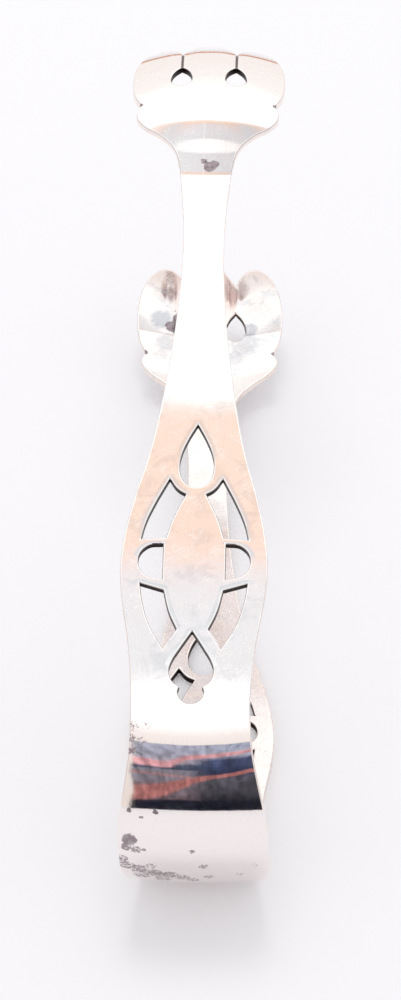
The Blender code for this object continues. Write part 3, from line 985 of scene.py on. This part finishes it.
def make_world():
    """A white tent, from the horizon in front, over the top, to the horizon behind.

    Its plain light fills the scene. Its tones show only in the metal.
    """
    world = bpy.data.worlds.new("studio")
    bpy.context.scene.world = world
    world.use_nodes = True
    g = Graph(world.node_tree)
    direction = g.node("ShaderNodeTexCoord").outputs["Generated"]
    height, aside = height_and_side(g, direction)
    stops = [
        (0.0, lit(234, 226, 220)),
        (30.0, lit(238, 231, 227)),
        (64.0, lit(246, 239, 236)),
        (72.0, lit(251, 246, 245)),
        (84.0, 1.0),
        (101.45, 1.0),
        (101.55, lit(228, 230, 234)),
        (102.2, lit(236, 238, 241)),
        (103.5, lit(240, 241, 245)),
        (104.0, lit(240, 237, 242)),
        (104.25, lit(250, 232, 228)),
        (104.6, lit(255, 228, 215)),
        (105.3, lit(255, 227, 209)),
        (106.5, lit(255, 228, 212)),
        (107.3, lit(255, 242, 235)),
        (108.6, 1.0),
        (138.0, 1.0),
        (150.0, lit(252, 247, 244)),
        (165.0, lit(247, 241, 238)),
        (175.8, lit(246, 240, 237)),
        (177.0, lit(214, 168, 146)),
        (180.0, lit(206, 152, 128)),
    ]
    level = g.math("DIVIDE", height, 180.0)
    aside = g.math("ABSOLUTE", aside)
    peach_low, peach_high = NARROW_PEACH
    narrow_stops = [stop for stop in stops if not PEACH_FROM < stop[0] < peach_high]
    narrow_stops += [(peach_low, lit(228, 229, 233)), (peach_low + 0.3, lit(255, 226, 208))]
    narrow_stops.sort(key=lambda stop: stop[0])
    tent, narrow = (
        g.ramp(level, [(at / 180.0, tone) for at, tone in row]) for row in (stops, narrow_stops)
    )
    tent = g.mix(g.between(aside, *PEACH_NARROWS), tent, narrow)
    tent = g.mix(g.between(aside, *TENT_FLANKS), tent, lit(*FLANK_TONE))
    rays = g.node("ShaderNodeLightPath")
    plain = (FILL, FILL * 0.992, FILL * 1.01)
    straight = g.math("LESS_THAN", rays.outputs["Diffuse Depth"], 0.5)
    seen = g.mix(g.times(rays.outputs["Is Glossy Ray"], straight), plain, tent)
    background = g.node("ShaderNodeBackground", {"Color": seen, "Strength": WHITE})
    output = g.node("ShaderNodeOutputWorld")
    g.tree.links.new(background.outputs[0], output.inputs["Surface"])


def room_material():
    """The dim room behind the camera: navy and grey, with copper bands, as the bow's fold shows it."""
    material = bpy.data.materials.new("dim_room")
    material.use_nodes = True
    g = Graph(material.node_tree)
    place = g.node("ShaderNodeNewGeometry").outputs["Position"]
    offset = g.vector("SUBTRACT", place, ROOM_SEEN_FROM)
    height, aside = height_and_side(g, g.vector("NORMALIZE", offset))
    flat = g.node("ShaderNodeCombineXYZ", {"X": aside, "Y": height}).outputs[0]
    wander = g.times(g.less(g.noise(flat, 0.08, 3.0, 0.5), 0.5), 7.0)
    bent = g.plus(height, wander)
    right = g.between(aside, -3.0, 3.0)
    stops_left = [
        (0.0, (14, 16, 30)), (9.0, (18, 21, 36)), (11.0, (88, 76, 82)), (26.0, (110, 102, 112)),
        (40.0, (112, 110, 122)), (41.5, (60, 68, 88)), (46.0, (78, 86, 106)), (48.0, (152, 146, 158)),
        (54.0, (150, 152, 168)), (72.0, (142, 148, 168)),
    ]
    stops_right = [
        (0.0, (12, 14, 28)), (9.0, (14, 17, 32)), (11.5, (34, 34, 42)), (20.0, (58, 58, 66)),
        (32.0, (72, 72, 82)), (38.0, (38, 46, 72)), (50.0, (60, 70, 100)), (54.0, (148, 154, 172)),
        (72.0, (146, 154, 174)),
    ]
    shades = [
        g.ramp(g.math("DIVIDE", bent, 80.0), [(at / 80.0, lit(*tone)) for at, tone in stops])
        for stops in (stops_left, stops_right)
    ]
    room = g.mix(right, *shades)
    ragged = g.times(g.less(g.noise(flat, 0.9, 3.0, 0.6), 0.5), 2.4)
    share = g.math("DIVIDE", g.plus(aside, 15.0), 30.0)
    for path, width, tone in ROOM_BANDS:
        stops = [((at + 15.0) / 30.0, height_there / 80.0) for at, height_there in path]
        centre = g.times(g.ramp(share, stops), 80.0)
        gap = g.math("ABSOLUTE", g.less(g.plus(height, ragged), centre))
        reach = g.between(aside, -11.0, 5.0, width[0], width[1])
        band = g.between(g.math("DIVIDE", gap, reach), 1.3, 0.7)
        if path[-1][0] < 5.0:
            band = g.times(band, g.between(aside, path[-1][0], path[-1][0] - 2.0, 0.0, 0.6))
        room = g.mix(band, room, lit(*tone))
    grain = g.noise(g.stretched(flat, (1.7, 0.05, 1.0)), 1.0, 2.0, 0.7)
    blotch = g.noise(g.stretched(flat, (0.8, 0.1, 1.0)), 1.0, 3.0, 0.7)
    room = g.mix(1.0, room, g.ramp(grain, [(0.34, 0.55), (0.66, 1.5)]), "MULTIPLY")
    room = g.mix(1.0, room, g.ramp(blotch, [(0.36, 0.6), (0.64, 1.45)]), "MULTIPLY")
    glow = g.node("ShaderNodeEmission", {"Color": room, "Strength": WHITE * ROOM_STRENGTH})
    output = g.node("ShaderNodeOutputMaterial")
    g.tree.links.new(glow.outputs[0], output.inputs["Surface"])
    return material


def make_room():
    """The tent's open front, a curved screen that only the metal sees."""
    rows, columns = ROOM_GRID
    points = []
    for row in range(rows):
        share = row / (rows - 1)
        tilt = ROOM_HEIGHTS[0] + (ROOM_HEIGHTS[1] - ROOM_HEIGHTS[0]) * share
        height = math.radians(tilt)
        reach = ROOM_REACH[0] + (ROOM_REACH[1] - ROOM_REACH[0]) * share
        left = float(np.interp(tilt, *np.array(ROOM_LEFT).T))
        right = float(np.interp(tilt, *np.array(ROOM_RIGHT).T))
        for column in range(columns):
            aside = math.radians(left + (right - left) * column / (columns - 1))
            points.append(ROOM_SEEN_FROM + reach * Vector((
                math.sin(aside), -math.cos(aside) * math.cos(height), math.cos(aside) * math.sin(height),
            )))
    faces = []
    for row in range(rows - 1):
        for column in range(columns - 1):
            corner = row * columns + column
            faces.append((corner, corner + 1, corner + columns + 1, corner + columns))
    mesh = bpy.data.meshes.new("open_front")
    mesh.from_pydata(points, [], faces)
    mesh.materials.append(room_material())
    screen = bpy.data.objects.new("open_front", mesh)
    bpy.context.scene.collection.objects.link(screen)
    screen.visible_camera = False
    screen.visible_diffuse = False
    screen.visible_shadow = False


def make_key_light():
    data = bpy.data.lights.new("softbox", "AREA")
    data.shape = "DISK"
    data.size = KEY_SIZE
    data.energy = KEY_POWER
    light = bpy.data.objects.new("softbox", data)
    light.location = KEY_PLACE
    light.rotation_mode = "QUATERNION"
    light.rotation_quaternion = KEY_PLACE.to_track_quat("Z", "Y")
    bpy.context.scene.collection.objects.link(light)
    light.visible_glossy = False
    light.visible_camera = False


def make_floor():
    bpy.ops.mesh.primitive_circle_add(
        vertices=96, radius=FLOOR_RADIUS, fill_type="NGON", location=(0, 0, -FLOOR_GAP)
    )
    floor = bpy.context.object
    floor.name = "floor"
    material = bpy.data.materials.new("floor")
    material.use_nodes = True
    shader = material.node_tree.nodes["Principled BSDF"]
    shader.inputs["Base Color"].default_value = FLOOR_COLOUR + (1.0,)
    shader.inputs["Roughness"].default_value = 0.9
    shader.inputs["Specular IOR Level"].default_value = 0.1
    shader.inputs["Emission Color"].default_value = FLOOR_GLOW_COLOUR + (1.0,)
    shader.inputs["Emission Strength"].default_value = FLOOR_GLOW
    floor.data.materials.append(material)


def main():
    scene = bpy.context.scene
    scene.view_settings.view_transform = "Standard"
    make_camera()
    make_world()
    make_room()
    make_key_light()
    make_floor()

    bow = make_bow()
    bow.data.materials.append(silver(
        "worn_silver_bow", 1.0,
        spots=[
            (-10.5, -18.0, 0.6, 0.9), (-8.4, -19.3, 0.5, 0.9), (-6.1, -18.1, 0.7, 0.95),
            (-10.7, -24.0, 2.1, 0.72), (-11.2, -25.7, 1.5, 0.55), (-9.6, -26.3, 1.4, 0.5),
            (-8.3, -26.2, 0.6, 0.85), (-0.2, -26.1, 0.7, 0.95),
            (-12.0, -29.2, 1.8, 0.4), (-11.4, -31.2, 2.3, 0.46), (-9.4, -32.2, 2.5, 0.48),
            (-6.8, -33.4, 2.6, 0.5), (-4.3, -33.9, 2.4, 0.5), (-2.2, -34.9, 2.2, 0.44),
            (-0.4, -36.2, 1.8, 0.4), (-9.0, -35.0, 2.4, 0.42), (-5.6, -36.2, 2.4, 0.42),
            (-7.2, -30.7, 1.6, 0.3), (1.6, -30.4, 1.3, 0.4), (2.2, -34.4, 1.4, 0.4),
            (7.5, -33.6, 1.4, 0.25), (10.2, -30.5, 1.1, 0.2),
            (-10.0, -5.4, 1.3, 0.42), (-9.4, -3.4, 1.4, 0.3), (-9.8, -7.6, 1.1, 0.5),
            (-8.2, -6.0, 1.6, 0.22), (-7.4, -3.2, 1.4, 0.15),
        ],
        grime=0.3, streaks=0.05, scuffed=0.0, base_roughness=0.035, tint=BOW_SILVER,
    ))
    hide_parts("bow_spring")
    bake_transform(bow)

    settings = {
        "upper_arm": dict(
            seed=2.0, warm=0.12, smear_and_reflection=0.28, streaks=0.08, scuffed=0.42, inner=0.9, base_roughness=0.04,
        ),
        "lower_arm": dict(seed=3.0, warm=0.5, smear_and_reflection=0.3, grime=1.0, inner=0.22, base_roughness=0.16),
        "upper_claw": dict(
            seed=4.0, heel=True, streaks=0.03, base_roughness=0.03,
            spots=[
                (0.7, 114.4, 1.4, 2.2), (-0.4, 115.5, 0.8, 1.8), (1.7, 115.0, 0.9, 2.0),
                (-12.2, 129.7, 0.8, 0.9), (12.2, 129.7, 0.8, 0.9),
            ],
        ),
        "lower_claw": dict(
            seed=5.0, warm=0.4, smear_and_reflection=0.6, grime=0.5, inner=0.2, base_roughness=0.08, heel=True,
            marks_depth=THICKNESS,
            reflection_patches=[
                (6.8, 133.0, 3.8, 0.58), (4.6, 129.6, 2.6, 0.5), (-8.4, 133.0, 2.8, 0.6),
                (-9.2, 129.6, 2.0, 0.4), (-9.4, 138.6, 2.6, 0.8), (7.6, 136.6, 2.0, 0.75),
                (-7.6, 144.0, 2.2, 0.3), (9.2, 141.4, 3.4, 0.2),
            ],
            spots=[
                (-7.4, 137.2, 1.7, 1.0), (-6.2, 138.8, 1.5, 0.9), (-6.4, 140.6, 1.2, 0.3),
                (-12.2, 129.7, 0.8, 0.9), (12.2, 129.7, 0.8, 0.9),
            ],
        ),
    }
    for node, options in settings.items():
        side = 1 if node.startswith("upper") else -1
        if node.endswith("arm"):
            piece = make_arm(node + "_strip", side)
        else:
            piece = make_claw(node + "_cup", side)
        piece.data.materials.append(silver("worn_silver_" + node, **options))
        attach(piece, "upper_half" if side > 0 else "lower_half")
        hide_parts(node)


main()
